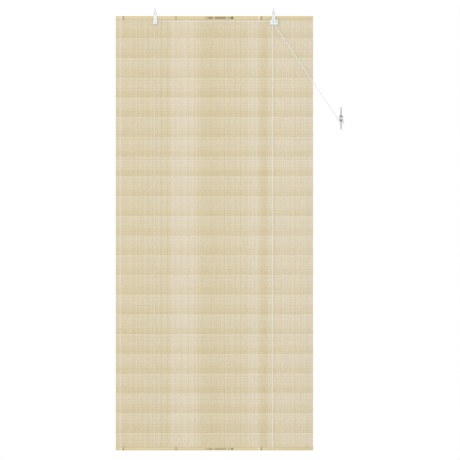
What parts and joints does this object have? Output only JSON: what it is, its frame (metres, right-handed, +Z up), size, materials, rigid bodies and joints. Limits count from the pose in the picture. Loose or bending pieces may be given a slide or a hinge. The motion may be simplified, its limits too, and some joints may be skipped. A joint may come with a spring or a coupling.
{
  "type": "bamboo roll up blind",
  "caption": "Bamboo slat blind that rolls up on looped cords over ceiling-hung pulleys, with a cord lock and a wall cleat.",
  "frame": {"origin": "midway between the two ceiling screws, on the ceiling plane", "axes": "+X to the right of someone who faces the blind, +Y back to the wall, +Z up along the ceiling screws"},
  "size_m": [1.1572, 0.054, 2.2445],
  "materials": {
    "bamboo_slat": "raw split bamboo, matt",
    "bamboo_pole": "natural bamboo rind, satin",
    "thread": "twisted cotton",
    "cord": "braided cotton",
    "white_plastic": "moulded white, slight gloss",
    "zinc_wire": "zinc-plated wire",
    "zinc_cast": "grey die-cast, satin",
    "steel": "plated steel"
  },
  "bodies": {
    "blind": {"slat_mat": "bamboo_slat", "warp_threads_front": "thread", "warp_threads_back": "thread", "head_batten_front": "bamboo_pole", "head_batten_back": "bamboo_pole", "head_nails": "steel", "housing_screws": "steel", "screw_eye_left": "zinc_wire", "screw_eye_right": "zinc_wire", "pulley_body": "white_plastic", "pulley_back": "white_plastic", "pulley_pin": "steel", "lock_body": "white_plastic", "lock_back": "white_plastic", "lock_pins": "steel", "cord_staples": "steel", "anchor_knots": "cord", "left_cord_front": "cord", "left_cord_back": "cord", "right_cord_front": "cord", "right_cord_back": "cord", "crossing_cord": "cord", "right_cord_top": "cord", "pull_cord_front": "cord", "pull_cord_rear": "cord", "end_knot": "cord", "cleat": "zinc_cast", "cleat_screws": "steel"},
    "foot": {"foot_batten_front": "bamboo_pole", "foot_batten_back": "bamboo_pole", "foot_nails": "steel", "left_cord_loop": "cord", "right_cord_loop": "cord"},
    "left_wheel": {"pulley_sheave": "white_plastic"},
    "front_wheel": {"lock_sheave_front": "white_plastic"},
    "rear_wheel": {"lock_sheave_rear": "white_plastic"},
    "pawl": {"lock_pawl": "zinc_cast"}
  },
  "joints": [
    {"name": "lift", "type": "slide", "parent": "blind", "child": "foot", "axis": [0, 0, 1], "range_m": [0, 2], "deforming": ["slat_mat", "warp_threads_front", "warp_threads_back", "left_cord_front", "right_cord_front", "left_cord_back", "right_cord_back"]},
    {"name": "left_sheave_turn", "type": "hinge", "parent": "blind", "child": "left_wheel", "pos_m": [-0.3, 0, -0.0532], "axis": [0, 1, 0], "continuous": true},
    {"name": "front_sheave_turn", "type": "hinge", "parent": "blind", "child": "front_wheel", "pos_m": [0.3, -0.0043, -0.0532], "axis": [0, 1, 0], "continuous": true},
    {"name": "rear_sheave_turn", "type": "hinge", "parent": "blind", "child": "rear_wheel", "pos_m": [0.3, 0, -0.0532], "axis": [0, 1, 0], "continuous": true},
    {"name": "pawl_swing", "type": "hinge", "parent": "blind", "child": "pawl", "pos_m": [0.312, -0.00215, -0.052], "axis": [0, 1, 0], "range_deg": [-50, 35]}
  ],
  "couplings": [
    {"joint": "left_sheave_turn", "follows": "lift", "rad_per_m": 416.67},
    {"joint": "front_sheave_turn", "follows": "lift", "rad_per_m": 416.67},
    {"joint": "rear_sheave_turn", "follows": "lift", "rad_per_m": 416.67}
  ]
}
